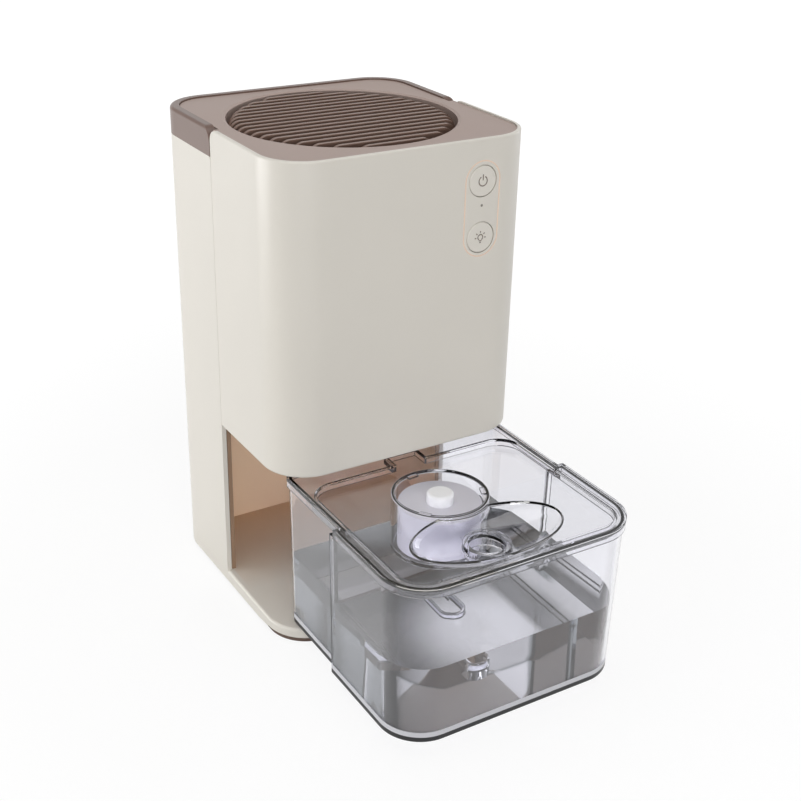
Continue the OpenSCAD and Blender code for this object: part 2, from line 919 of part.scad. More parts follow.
module fan_frame() {
    flange = 3.5;
    color(black)
        union() {
            difference() {
                union() {
                    for (z = [0, fan_h - flange])
                        translate([0, 0, z_fan + z])
                            linear_extrude(flange)
                                plan(fan_w, fan_w, 5);
                    translate([0, 0, z_fan])
                        cylinder(h = fan_h, r = fan_w / 2);
                }
                translate([0, 0, z_fan - cut])
                    cylinder(h = fan_h + 2 * cut, r = fan_bore);
                for (sx = [-1, 1], sy = [-1, 1])
                    translate([sx * fan_screw_pitch / 2, sy * fan_screw_pitch / 2, z_fan - cut])
                        cylinder(h = fan_h + 2 * cut, r = screw_r + 0.6);
            }
            // Struts and the plate that holds the motor
            translate([0, 0, z_fan])
                cylinder(h = strut_t, r = hub_r - 1);
            for (a = [45 : 90 : 315])
                rotate(a)
                    translate([hub_r - 3, -2, z_fan])
                        cube([fan_bore - hub_r + 4, 4, strut_t]);
        }
}

module fan_motor() {
    tube_top = z_hub_top - cup_t - 1;
    plate_r = hub_r - 6;
    bearing_r = 4;
    z_coil = z_strut + 5;
    color(steel)
        difference() {
            union() {
                translate([0, 0, z_strut])
                    cylinder(h = 3, r = plate_r);
                translate([0, 0, z_strut])
                    cylinder(h = tube_top - z_strut, r = bearing_r);
                for (a = [0 : 90 : 270])
                    rotate(a)
                        translate([bearing_r - 1, -2.5, z_coil])
                            cube([plate_r - bearing_r - 1, 5, coil_h]);
                for (a = [0 : 90 : 270])
                    rotate(a)
                        translate([plate_r - 3, -6, z_coil])
                            cube([2.5, 12, coil_h]);
            }
            translate([0, 0, shaft_end - fit])
                cylinder(h = fan_h, r = shaft_d / 2 + snug);
        }
}

module fan_screws() {
    color(steel)
        for (sx = [-1, 1], sy = [-1, 1])
            translate([sx * fan_screw_pitch / 2, sy * fan_screw_pitch / 2, z_fan])
                difference() {
                    union() {
                        translate([0, 0, -duct_top_t])
                            cylinder(h = fan_h + duct_top_t + 1, r = screw_r);
                        translate([0, 0, fan_h])
                            cylinder(h = 1.6, r = head_r);
                    }
                    translate([0, 0, fan_h + 1.6])
                        cube([3, 0.7, 2], center = true);
                    translate([0, 0, fan_h + 1.6])
                        cube([0.7, 3, 2], center = true);
                }
}

module fan_rotor() {
    blade_h = 16;
    blade_r = fan_bore - 1.2;
    z_blade = z_strut + 2.5;
    color(dark_brown)
        union() {
            difference() {
                translate([0, 0, z_strut + 1])
                    cylinder(h = z_hub_top - z_strut - 1, r = hub_r);
                translate([0, 0, z_strut])
                    cylinder(h = z_hub_top - cup_t - z_strut, r = hub_r - cup_t);
            }
            translate([0, 0, shaft_end])
                cylinder(h = z_hub_top - shaft_end - 0.5, r = shaft_d / 2);
            for (i = [0 : blade_n - 1])
                rotate(i * 360 / blade_n)
                    translate([0, 0, z_blade])
                        linear_extrude(blade_h, twist = -38, slices = 8, $fn = 4)
                            translate([hub_r - 0.5, -1.3])
                                square([blade_r - hub_r + 0.5, 2.6]);
        }
}

module fan_magnet() {
    ring_out = hub_r - cup_t;
    color(black)
        difference() {
            translate([0, 0, z_strut + ring_rise])
                cylinder(h = ring_h, r = ring_out);
            translate([0, 0, z_strut + ring_rise - cut])
                cylinder(h = ring_h + 2 * cut, r = ring_out - 2);
        }
}

module control_board() {
    color(board_green)
        difference() {
            on_front(pill_x, z_pill, board_y, board_y + board_t)
                plan(board_w, board_l, 2);
            for (sx = [-1, 1], sz = [-1, 1])
                rod_y(pill_x + sx * board_screw_x, z_pill + sz * board_screw_z,
                    board_y - cut, board_y + board_t + cut, board_screw_r + 0.15);
        }
}

module board_screws() {
    color(steel)
        for (sx = [-1, 1], sz = [-1, 1]) {
            rod_y(pill_x + sx * board_screw_x, z_pill + sz * board_screw_z,
                board_y - board_screw_deep, board_y + board_t + 0.5, board_screw_r);
            rod_y(pill_x + sx * board_screw_x, z_pill + sz * board_screw_z,
                board_y + board_t, board_y + board_t + 1.2, 2 * board_screw_r);
        }
}

module tact_switches() {
    color(black)
        for (z = [z_power, z_light]) {
            translate([pill_x - switch_w / 2, switch_y, z - switch_w / 2])
                cube([switch_w, switch_h, switch_w]);
            rod_y(pill_x, z, plunger_y, switch_y + 0.2, plunger_r);
        }
}

module status_light() {
    color(white)
        union() {
            rod_y(pill_x, z_status, -half_d, board_y - 1, light_pipe_d / 2);
            translate([pill_x - 1.2, board_y - 1.2, z_status - 1])
                cube([2.4, 1.2, 2]);
        }
}

module button_bezel() {
    color(copper)
        on_front(pill_x, z_pill, -half_d - bezel_proud, -half_d + bezel_t - bezel_proud)
            difference() {
                pill(pill_w, pill_l);
                pill(pill_w - 2 * bezel_w, pill_l - 2 * bezel_w);
            }
}

module push_button(z) {
    face_r = 0.6;
    button_y = -half_d - button_proud;
    cap_l = flange_y - button_y;
    color(cream)
        union() {
            translate([pill_x, button_y, z])
                rotate([-90, 0, 0])
                    rotate_extrude()
                        union() {
                            square([button_d / 2 - face_r, cap_l]);
                            translate([0, face_r])
                                square([button_d / 2, cap_l - face_r]);
                            translate([button_d / 2 - face_r, face_r])
                                circle(face_r);
                        }
            rod_y(pill_x, z, flange_y, flange_y + flange_t, flange_r);
            rod_y(pill_x, z, flange_y, stem_end, stem_r);
        }
}

module power_button() {
    push_button(z_power);
}

module light_button() {
    push_button(z_light);
}

module power_jack() {
    inner_back = half_d - wall_t;
    color(black)
        difference() {
            union() {
                translate([jack_x - jack_w / 2, inner_back - jack_depth, jack_z - jack_w / 2])
                    cube([jack_w, jack_depth, jack_w]);
                rod_y(jack_x, jack_z, inner_back - 1, half_d - 0.4, jack_r);
            }
            difference() {
                rod_y(jack_x, jack_z, half_d - 0.4 - socket_depth, half_d + cut, socket_r);
                rod_y(jack_x, jack_z, half_d - 1.4 - socket_depth, half_d - 1.4, contact_r);
            }
        }
}

// Outline of the tank and lid, which step in where they pass between the side walls
module tank_plan(inset, step_y) {
    front_half = lid_half - inset;
    back_half = lid_rear_half - inset;
    front = lid_front + inset;
    step = step_y - inset;
    back = lid_back - inset;
    front_r = corner_r - inset;
    back_r = lid_back_r - inset;
    union() {
        translate([-front_half, front + front_r])
            square([2 * front_half, step - front - front_r]);
        translate([-(front_half - front_r), front])
            square([2 * (front_half - front_r), step - front]);
        for (s = [-1, 1])
            translate([s * (front_half - front_r), front + front_r])
                circle(front_r);
        translate([-back_half, step - cut])
            square([2 * back_half, back - back_r - step + cut]);
        translate([-(back_half - back_r), step - cut])
            square([2 * (back_half - back_r), back - step + cut]);
        for (s = [-1, 1])
            translate([s * (back_half - back_r), back - back_r])
                circle(back_r);
    }
}

// Draws an outline up with the tank's draft, from its foot at z0 to full size at z1
module drafted(z0, z1) {
    foot_scale = 1 - tank_draft / lid_half * (z1 - z0) / (z_lip - z_tank);
    translate([0, tank_mid, z0])
        linear_extrude(z1 - z0, scale = 1 / foot_scale)
            scale(foot_scale)
                translate([0, -tank_mid])
                    children();
}

// Everything below a level, for cutting the tank's sides short
module below(z) {
    translate([-half_w, lid_front - cut, 0])
        cube([body_w, body_d, z]);
}

module tank_body() {
    runner_x = 46;
    runner_w = 3;
    runner_l = 44;
    rib_w = 13;
    rib_l = 22;
    rib_h = 5;
    rib_t = 1.6;
    z_floor = z_tank + tank_t;
    color(clear)
        translate([0, -tank_pull, 0])
            union() {
                difference() {
                    union() {
                        drafted(z_tank, z_lip)
                            tank_plan(tank_in, lid_step);
                        intersection() {
                            drafted(z_tank, z_lip)
                                tank_plan(tank_in, tank_step);
                            below(z_ledge);
                        }
                    }
                    drafted(z_floor, z_lip + cut)
                        tank_plan(tank_in + tank_t, lid_step);
                    intersection() {
                        drafted(z_floor, z_lip + cut)
                            tank_plan(tank_in + tank_t, tank_step);
                        below(z_ledge - tank_t);
                    }
                }
                for (s = [-1, 1])
                    translate([s * runner_x - runner_w / 2, lid_step, z_tank - runner_h])
                        cube([runner_w, runner_l, runner_h + tank_t / 2]);
                for (s = [-1, 1])
                    translate([s * runner_x - runner_w / 2, lid_front + corner_r, z_tank - runner_h])
                        cube([runner_w, runner_l, runner_h + tank_t / 2]);
                // U-shaped rib on the floor
                translate([0, rib_y, z_floor - 0.5])
                    linear_extrude(rib_h + 0.5)
                        difference() {
                            union() {
                                circle(rib_w / 2);
                                translate([-rib_w / 2, 0])
                                    square([rib_w, rib_l - rib_w / 2]);
                            }
                            circle(rib_w / 2 - rib_t);
                            translate([-rib_w / 2 + rib_t, 0])
                                square([rib_w - 2 * rib_t, rib_l]);
                        }
            }
}

module recess_plan(inset) {
    w = 2 * (recess_half - inset);
    l = recess_back - recess_front - 2 * inset;
    union() {
        translate([0, (recess_front + recess_back) / 2])
            plan(w, l, recess_r - inset);
        translate([0, recess_back - cut + notch_d / 2])
            square([notch_w - 2 * inset, notch_d + 2 * cut - 2 * inset], center = true);
    }
}

// A solid with an oval rim at z = 0 and a rounded underside
module oval_bowl(a, b, depth) {
    n = 48;
    rings = 7;
    last = 74;
    points = [
        for (k = [0 : rings - 1])
            let (phi = last * k / (rings - 1), grow = cos(phi), fall = sin(phi) / sin(last))
                for (i = [0 : n - 1])
                    [a * grow * cos(360 * i / n), b * grow * sin(360 * i / n), -depth * fall]
    ];
    sides = [
        for (k = [0 : rings - 2], i = [0 : n - 1])
            let (j = (i + 1) % n)
                [k * n + i, k * n + j, (k + 1) * n + j, (k + 1) * n + i]
    ];
    top = [for (i = [n - 1 : -1 : 0]) i];
    bottom = [for (i = [0 : n - 1]) (rings - 1) * n + i];
    polyhedron(points = points, faces = concat([top, bottom], sides), convexity = 2);
}

module tank_lid() {
    color(clear)
        translate([0, -tank_pull, 0])
            difference() {
                union() {
                    difference() {
                        translate([0, 0, z_lid - lid_band])
                            linear_extrude(lid_band)
                                tank_plan(0, lid_step);
                        translate([0, 0, z_lid - lid_band - cut])
                            linear_extrude(lid_band - lid_t + cut)
                                tank_plan(skirt_t, lid_step);
                    }
                    translate([0, 0, z_panel_under])
                        linear_extrude(z_lid - z_panel_under)
                            recess_plan(-recess_t);
                    difference() {
                        translate([0, bowl_y, z_recess])
                            oval_bowl(bowl_l / 2 + bowl_t, bowl_w / 2 + bowl_t, bowl_h + bowl_t);
                        translate([0, well_y, z_panel_under - 2 * bowl_h])
                            cylinder(h = 2 * bowl_h, r = well_r + fit);
                    }
                    translate([0, bowl_y, z_bowl - bowl_t - drain_spout])
                        cylinder(h = bowl_t + drain_spout + 0.5, r = collar_d / 2 - 1);
                }
                translate([0, 0, z_recess])
                    linear_extrude(recess_h + cut)
                        recess_plan(0);
                difference() {
                    translate([0, bowl_y, z_recess + 0.01])
                        oval_bowl(bowl_l / 2, bowl_w / 2, bowl_h);
                    // Collar that stands round the drain
                    translate([0, bowl_y, z_bowl - cut])
                        cylinder(h = collar_rise + cut, r = collar_d / 2);
                    // Wall that closes the bowl where the float well cuts into it
                    translate([0, well_y, z_bowl - cut])
                        cylinder(h = 2 * bowl_h, r = well_r + fit + bowl_t);
                }
                translate([0, bowl_y, z_bowl - bowl_t - drain_spout - cut])
                    cylinder(h = 2 * bowl_h, r = drain_d / 2);
                // Hatch over the float, with the tabs that hold it
                difference() {
                    translate([0, well_y, z_panel_under - cut])
                        cylinder(h = lid_t + 2 * cut, r = well_in);
                    for (a = [98 : 120 : 338])
                        translate([0, well_y, z_panel_under])
                            rotate(a)
                                translate([tab_in, -tab_w / 2, 0])
                                    cube([well_r - tab_in, tab_w, tab_t]);
                }
            }
}

module float_well() {
    color(clear)
        translate([0, well_y - tank_pull, 0])
            difference() {
                translate([0, 0, z_well])
                    cylinder(h = well_h, r = well_r);
                translate([0, 0, z_well + well_t])
                    cylinder(h = well_h, r = well_in);
                // Ports that let the water in
                for (a = [0 : 60 : 300])
                    rotate(a)
                        translate([well_in * 0.62, 0, z_well - cut])
                            cylinder(h = well_t + 2 * cut, r = port_r);
            }
}

module float_body() {
    color(white)
        translate([0, well_y - tank_pull, 0])
            difference() {
                translate([0, 0, z_float])
                    cylinder(h = z_float_top - z_float, r = float_r);
                translate([0, 0, z_float - cut])
                    cylinder(h = z_float_top - z_float - float_t + cut, r = float_r - float_t);
            }
}

module float_knob() {
    round_r = 1.6;
    color(white)
        translate([0, well_y - tank_pull, z_float_top])
            difference() {
                rotate_extrude()
                    union() {
                        square([knob_d / 2, knob_h - round_r]);
                        square([knob_d / 2 - round_r, knob_h]);
                        translate([knob_d / 2 - round_r, knob_h - round_r])
                            circle(round_r);
                    }
                translate([0, 0, -cut])
                    cylinder(h = magnet_h + cut, r = magnet_r + snug);
            }
}

module float_magnet() {
    color(steel)
        translate([0, well_y - tank_pull, z_float_top])
            cylinder(h = magnet_h, r = magnet_r);
}

front_shell();
rear_housing();
foot_plate();
anti_slip_pads();
foot_screws();
housing_screws();
rear_trim();
top_panel();
top_grille();
bay_liner();
bay_roof();
light_window();
night_light_board();
level_sensor();
drip_tray();
air_duct();
hot_heat_sink();
cold_heat_sink();
cooling_module();
insulation_frame();
fan_frame();
fan_motor();
fan_screws();
fan_rotor();
fan_magnet();
control_board();
tact_switches();
board_screws();
status_light();
button_bezel();
power_button();
light_button();
power_jack();
tank_body();
tank_lid();
float_well();
float_body();
float_knob();
float_magnet();
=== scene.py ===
# %% [markdown]
# # A compact dehumidifier with a clear pull-out tank
#
# The CAD model brings the shells, the working parts and their places. This notebook gives them
# their looks: satin moulded shells, a slatted outlet, printed signs, and a clear tank with the water
# that has dripped into it. Lengths on the object are written in millimetres and turned to metres by
# one factor, and the studio round it is laid out in metres.

# %% Load the frame
import math

import bmesh
import bpy
from mathutils import Matrix, Vector


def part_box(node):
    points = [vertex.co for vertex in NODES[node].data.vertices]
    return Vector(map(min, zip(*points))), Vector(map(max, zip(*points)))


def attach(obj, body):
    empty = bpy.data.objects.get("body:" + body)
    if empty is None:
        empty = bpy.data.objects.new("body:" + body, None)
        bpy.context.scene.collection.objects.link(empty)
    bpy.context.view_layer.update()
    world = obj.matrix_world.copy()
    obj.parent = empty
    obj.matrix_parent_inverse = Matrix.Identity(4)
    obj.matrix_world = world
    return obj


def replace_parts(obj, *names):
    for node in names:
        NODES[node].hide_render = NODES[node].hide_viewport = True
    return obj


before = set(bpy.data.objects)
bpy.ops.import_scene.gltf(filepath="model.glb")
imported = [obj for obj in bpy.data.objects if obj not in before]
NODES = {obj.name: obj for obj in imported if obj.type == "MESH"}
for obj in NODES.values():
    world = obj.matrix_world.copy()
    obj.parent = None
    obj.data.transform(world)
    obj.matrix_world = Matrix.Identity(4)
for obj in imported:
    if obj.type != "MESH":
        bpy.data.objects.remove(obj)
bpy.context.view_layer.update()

MM = 0.001

# %% [markdown]
# ## Camera
#
# A portrait-like lens of 59 mm looks down on the object from its front left. The camera's place is
# followed by the angles of the direction it looks along, so that the view can be read as angles.

# %% Camera
CAMERA_AT = Vector((-312.1, -565.8, 415.1)) * MM
CAMERA_TURN = math.radians(-31.75)      # from straight at the front, towards the left side
CAMERA_DOWN = math.radians(26.07)
CAMERA_ROLL = math.radians(1.39)
CAMERA_LENS = 58.94

camera_data = bpy.data.cameras.new("studio_camera")
camera_data.lens = CAMERA_LENS
camera_data.sensor_width = 36
camera_data.clip_start = 0.01
camera = bpy.data.objects.new("studio_camera", camera_data)
bpy.context.scene.collection.objects.link(camera)
camera.matrix_world = (
    Matrix.Translation(CAMERA_AT)
    @ Matrix.Rotation(CAMERA_TURN, 4, "Z")
    @ Matrix.Rotation(math.pi / 2 - CAMERA_DOWN, 4, "X")
    @ Matrix.Rotation(CAMERA_ROLL, 4, "Z")
)
bpy.context.scene.camera = camera
bpy.context.scene.view_settings.view_transform = "Standard"
print("camera to the object's foot:", round(CAMERA_AT.length, 3), "m")

# %% [markdown]
# ## Small helpers for materials
#
# Every colour is written as an sRGB hex value, as a colour picker shows it, and one function turns
# it to the linear numbers that the renderer works with. One more function adds a node, sets it and
# links it, so that a material reads as a short list of nodes.


# %% Colour and node helpers
def colour(hex_value):
    """Linear RGBA of an sRGB hex value such as '#E6E1D8'."""
    channels = [int(hex_value[i:i + 2], 16) / 255 for i in (1, 3, 5)]
    return tuple(c / 12.92 if c <= 0.04045 else ((c + 0.055) / 1.055) ** 2.4 for c in channels) + (1,)


def add_node(material, kind, settings=None, inputs=None):
    """Adds a node. inputs maps a socket to a value, or to a socket that is linked to it."""
    tree = material.node_tree
    node = tree.nodes.new(kind)
    for name, value in (settings or {}).items():
        setattr(node, name, value)
    for name, value in (inputs or {}).items():
        if isinstance(value, bpy.types.NodeSocket):
            tree.links.new(value, node.inputs[name])
        else:
            node.inputs[name].default_value = value
    return node


def link(material, source, target):
    material.node_tree.links.new(source, target)


def new_material(name, base, roughness, **sockets):
    """A Principled material; the base colour and roughness may be changed by nodes later."""
    material = bpy.data.materials.new(name)
    material.use_nodes = True
    shader = material.node_tree.nodes["Principled BSDF"]
    shader.inputs["Base Color"].default_value = colour(base)
    shader.inputs["Roughness"].default_value = roughness
    for socket, value in sockets.items():
        shader.inputs[socket.replace("_", " ")].default_value = value
    return material, shader


# %% [markdown]
# ## Moulded plastic
#
# The shells are injection-moulded ABS. The mould is spark-eroded to a fine satin, which breaks up
# reflections, and big flat walls sink and swell by a few hundredths of a millimetre, which bends the
# soft highlights. Both are drawn as bump: grain at a third of a millimetre and a slow wave at 60 mm.
# The pigment flows with the melt, so colour and gloss drift a little from place to place.

# %% Moulded plastic
WAVE_MM = 60
FLOW_MM = 35
PIGMENT_DRIFT = 0.04        # of the colour, from its darkest to its lightest place
GLOSS_DRIFT = 0.03          # of the roughness, to either side


def moulded_plastic(name, base, roughness, grain_mm=0.35, grain_depth=0.004, wave_depth=0.02):
    material, shader = new_material(name, base, roughness)
    points = add_node(material, "ShaderNodeTexCoord").outputs["Object"]
    grain = add_node(material, "ShaderNodeTexNoise", {},
                     {"Vector": points, "Scale": 1 / (grain_mm * MM), "Detail": 2.0, "Roughness": 0.6})
    wave = add_node(material, "ShaderNodeTexNoise", {},
                    {"Vector": points, "Scale": 1 / (WAVE_MM * MM), "Detail": 1.0, "Roughness": 0.4})
    slow = add_node(material, "ShaderNodeBump", {},
                    {"Height": wave.outputs["Fac"], "Strength": 1.0, "Distance": wave_depth * MM})
    fine = add_node(material, "ShaderNodeBump", {},
                    {"Height": grain.outputs["Fac"], "Strength": 1.0, "Distance": grain_depth * MM,
                     "Normal": slow.outputs["Normal"]})
    link(material, fine.outputs["Normal"], shader.inputs["Normal"])
    flow = add_node(material, "ShaderNodeTexNoise", {},
                    {"Vector": points, "Scale": 1 / (FLOW_MM * MM), "Detail": 3.0, "Roughness": 0.5})
    pigment = Vector(colour(base)[:3])
    light = tuple(pigment * (1 + PIGMENT_DRIFT / 2)) + (1,)
    dark = tuple(pigment * (1 - PIGMENT_DRIFT / 2)) + (1,)
    mix = add_node(material, "ShaderNodeMix", {"data_type": "RGBA"},
                   {0: flow.outputs["Fac"], 6: dark, 7: light})
    link(material, mix.outputs[2], shader.inputs["Base Color"])
    gloss = add_node(material, "ShaderNodeMapRange", {},
                     {"Value": flow.outputs["Fac"], "From Min": 0.3, "From Max": 0.7,
                      "To Min": roughness - GLOSS_DRIFT, "To Max": roughness + GLOSS_DRIFT})
    link(material, gloss.outputs["Result"], shader.inputs["Roughness"])
    return material


CREAM_ABS = moulded_plastic("cream_satin_abs", "#E9E4DA", 0.34)
BUTTON_ABS = moulded_plastic("cream_button_abs", "#ECE7DD", 0.28, wave_depth=0.0)
BROWN_ABS = moulded_plastic("grey_brown_satin_abs", "#B9A59C", 0.5)
TRIM_ABS = moulded_plastic("dark_brown_trim_abs", "#7B645A", 0.34)
GRILLE_ABS = moulded_plastic("brown_grille_abs", "#8D7265", 0.38)
TAN_ABS = moulded_plastic("tan_liner_abs", "#F0D2B2", 0.42)
FOOT_ABS = moulded_plastic("dark_brown_foot_abs", "#6E5A50", 0.5)
DUCT_PP = moulded_plastic("grey_duct_polypropylene", "#C9C9C7", 0.5)
FAN_PBT = moulded_plastic("black_fan_pbt", "#2A2725", 0.45)
JACK_NYLON = moulded_plastic("black_jack_nylon", "#1B1B1D", 0.4)
FLOAT_PP = moulded_plastic("milky_float_polypropylene", "#D8D6DE", 0.3)
KNOB_PP = moulded_plastic("pale_knob_polypropylene", "#FAFAFC", 0.25)
DIFFUSER = moulded_plastic("milky_diffuser_pc", "#F0F0EC", 0.35)
LIGHT_PIPE = moulded_plastic("smoky_light_pipe_pc", "#8F877E", 0.25)
PRINT_INK = moulded_plastic("brown_pad_print_ink", "#7A6A60", 0.5)
PAD_RUBBER = moulded_plastic("black_pad_rubber", "#1E1E1E", 0.75, grain_mm=0.6, grain_depth=0.02)
CERAMIC = moulded_plastic("white_alumina", "#ECECE8", 0.6)
FOAM = moulded_plastic("black_closed_cell_foam", "#242424", 0.9, grain_mm=0.8, grain_depth=0.05)
print("moulded finishes:", len(bpy.data.materials))

# %% [markdown]
# ## Colour by place
#
# Two shells have places where a colour is mixed in. The liner's thin front edges lie in the shade of
# the body, and that shade is painted on them as a darker tan. The deck turns tan more and more
# towards the back, next to the liner. Both are mixed in by where a point lies on the object, so the
# colour stays put in any view.


# %% Colour by place
def run_along(material, axis, start_mm, end_mm, at_start, at_end):
    """A number that changes while a place goes from start to end. Axis '|X|' counts from the middle."""
    points = add_node(material, "ShaderNodeTexCoord").outputs["Object"]
    place = add_node(material, "ShaderNodeSeparateXYZ", {}, {0: points}).outputs[axis.strip("|")]
    if axis == "|X|":
        place = add_node(material, "ShaderNodeMath", {"operation": "ABSOLUTE"}, {0: place}).outputs[0]
    return add_node(material, "ShaderNodeMapRange", {},
                    {"Value": place, "From Min": start_mm * MM, "From Max": end_mm * MM,
                     "To Min": at_start, "To Max": at_end}).outputs["Result"]


def tint_where(material, hex_value, *shares):
    """Mixes another colour into the base where all the shares are high: in full where each is 1."""
    base = material.node_tree.nodes["Principled BSDF"].inputs["Base Color"]
    was = base.links[0].from_socket if base.links else tuple(base.default_value)
    share = shares[0]
    for more in shares[1:]:
        share = add_node(material, "ShaderNodeMath", {"operation": "MULTIPLY"},
                         {0: share, 1: more}).outputs[0]
    mix = add_node(material, "ShaderNodeMix", {"data_type": "RGBA"}, {0: share, 6: was, 7: colour(hex_value)})
    link(material, mix.outputs[2], base)


# Painted shade: the liner's front edges are darkened where the body shades them.
tint_where(TAN_ABS, "#8A6B54", run_along(TAN_ABS, "Y", 3.6, 4.4, 0.85, 0.0))
# The deck is mixed towards tan, more and more towards the back.
tint_where(CREAM_ABS, "#D9B592",
           run_along(CREAM_ABS, "|X|", 66.0, 67.0, 1.0, 0.0),     # between the bay's walls
           run_along(CREAM_ABS, "Y", 57.0, 58.0, 1.0, 0.0),       # in front of its rear wall
           run_along(CREAM_ABS, "Z", 9.0, 9.4, 1.0, 0.0),         # no higher than the deck
           run_along(CREAM_ABS, "Y", -20.0, 50.0, 0.0, 0.9))      # more and more towards the back
print("tinted by place:", TAN_ABS.name, CREAM_ABS.name)

# %% [markdown]
# ## Metals
#
# The outline round the buttons is a thin pressed strip plated in rose copper. Screws are zinc
# plated, and the heat sinks are extruded aluminium. All of them were drawn through a die or pressed,
# which leaves fine lines along one direction: a noise that is stretched fifty times along Z.

# %% Metals
LINE_MM = 0.3
LINE_DEPTH = 0.003
LINE_STRETCH = (1, 1, 0.02)


def metal(name, base, roughness):
    material, shader = new_material(name, base, roughness, Metallic=1.0)
    points = add_node(material, "ShaderNodeTexCoord").outputs["Object"]
    drawn = add_node(material, "ShaderNodeMapping", {}, {"Vector": points, "Scale": LINE_STRETCH})
    lines = add_node(material, "ShaderNodeTexNoise", {},
                     {"Vector": drawn.outputs["Vector"], "Scale": 1 / (LINE_MM * MM), "Detail": 2.0})
    bump = add_node(material, "ShaderNodeBump", {},
                    {"Height": lines.outputs["Fac"], "Strength": 1.0, "Distance": LINE_DEPTH * MM})
    link(material, bump.outputs["Normal"], shader.inputs["Normal"])
    return material


COPPER = metal("rose_copper_plate", "#E0C8B6", 0.34)
ZINC = metal("zinc_plated_steel", "#A9AAAD", 0.35)
ALUMINIUM = metal("extruded_aluminium", "#C6C8CB", 0.38)
MAGNET = metal("nickel_plated_magnet", "#8C8C8E", 0.3)
print("metals:", COPPER.name, ZINC.name, ALUMINIUM.name, MAGNET.name)

# %% [markdown]
# ## Circuit boards
#
# Boards are glass-fibre laminate under green lacquer, over a grid of copper tracks that shows as a
# slightly lighter green. A brick texture with thin joints gives that grid. The night light's board
# is lacquered white, to throw its light down.

# %% Circuit boards
TRACK_PITCH_MM = 4


def board_lacquer(name, base, track):
    material, shader = new_material(name, base, 0.35)
    points = add_node(material, "ShaderNodeTexCoord").outputs["Object"]
    tracks = add_node(material, "ShaderNodeTexBrick", {"offset": 0.5},
                      {"Vector": points, "Color1": colour(base), "Color2": colour(base),
                       "Mortar": colour(track), "Scale": 1 / (TRACK_PITCH_MM * MM), "Mortar Size": 0.08})
    link(material, tracks.outputs["Color"], shader.inputs["Base Color"])
    return material


GREEN_BOARD = board_lacquer("green_board_lacquer", "#1F4F35", "#2F6B49")
WHITE_BOARD = board_lacquer("white_board_lacquer", "#E6E6E2", "#D2D2CC")
print("board lacquers:", GREEN_BOARD.name, WHITE_BOARD.name)

# %% [markdown]
# ## Clear plastic and water
#
# The tank and its lid are clear polystyrene. Its walls show by what they bend and mirror: edges go
# dark or bright, and flat walls stay almost unseen. A slight lavender tint builds up along edges,
# where the eye looks through centimetres of plastic, so it is drawn as absorption in the volume.
# Real light passes through such walls and still lights what is behind them. A path tracer finds that
# light only by luck, so rays that look for a lamp meet a plain see-through shader instead of glass.
#
# The lines along moulded edges are painted with finishes of their own. A rounded edge traps most of
# the light and shows as a thin dark line, painted as a dark clear finish. Where it throws light back it
# looks frosted, painted as a milky pale clear finish. The foot of the tank is so thick that hardly any
# light comes out of it, so it is painted near black.


# %% Clear plastic and water
def clear_plastic(name, tint, density, roughness=0.02, ior=1.55, base="#FCFCFF", clarity=1.0):
    material, shader = new_material(name, base, roughness, IOR=ior, Transmission_Weight=clarity)
    output = material.node_tree.nodes["Material Output"]
    absorb = add_node(material, "ShaderNodeVolumeAbsorption", {},
                      {"Color": colour(tint), "Density": density})
    link(material, absorb.outputs["Volume"], output.inputs["Volume"])
    to_lamp = add_node(material, "ShaderNodeLightPath").outputs["Is Shadow Ray"]
    passing = add_node(material, "ShaderNodeBsdfTransparent", {}, {"Color": colour("#F4F4F6")})
    either = add_node(material, "ShaderNodeMixShader", {},
                      {0: to_lamp, 1: shader.outputs["BSDF"], 2: passing.outputs["BSDF"]})
    link(material, either.outputs["Shader"], output.inputs["Surface"])
    return material


PS_TINT = "#C9CBDD"
PS_DENSITY = 12.0
CLEAR_PS = clear_plastic("clear_polystyrene", PS_TINT, PS_DENSITY)
# Painted dark line for the rounded edges of clear plastic.
PAINTED_DARK_EDGE = clear_plastic("clear_polystyrene_painted_dark_edge", PS_TINT, PS_DENSITY, 0.04, base="#484850")
# Painted milky pale rim, where an edge throws light back.
PAINTED_PALE_RIM = clear_plastic("clear_polystyrene_painted_pale_rim", PS_TINT, PS_DENSITY, 0.2, base="#F6F6FC", clarity=0.25)
# Painted near-black band at the tank's foot.
PAINTED_DARK_FOOT = new_material("painted_dark_tank_foot", "#141518", 0.35)[0]
WATER = clear_plastic("clean_water", "#A9AAB6", 2.5, 0.0, 1.333)

# Painted shade of the body on the water: its surface is darkened more and more to the back, and its sides
# behind the step.
tint_where(WATER, "#747D7F",
           run_along(WATER, "Z", 50.0, 51.0, 0.0, 1.0), run_along(WATER, "Y", -135.0, -75.0, 0.0, 0.9))
tint_where(WATER, "#5C6668",
           run_along(WATER, "|X|", 57.0, 58.5, 0.0, 1.0), run_along(WATER, "Y", -122.0, -114.0, 0.0, 0.95))
print("clear finishes:", CLEAR_PS.name, PAINTED_DARK_EDGE.name, PAINTED_PALE_RIM.name, WATER.name)

# %% [markdown]
# ## Dress the CAD nodes
#
# A CAD node keeps its own mesh and gets its finish in its material slot. One table says which finish
# goes on which nodes, so that every node of the model can be found in it.

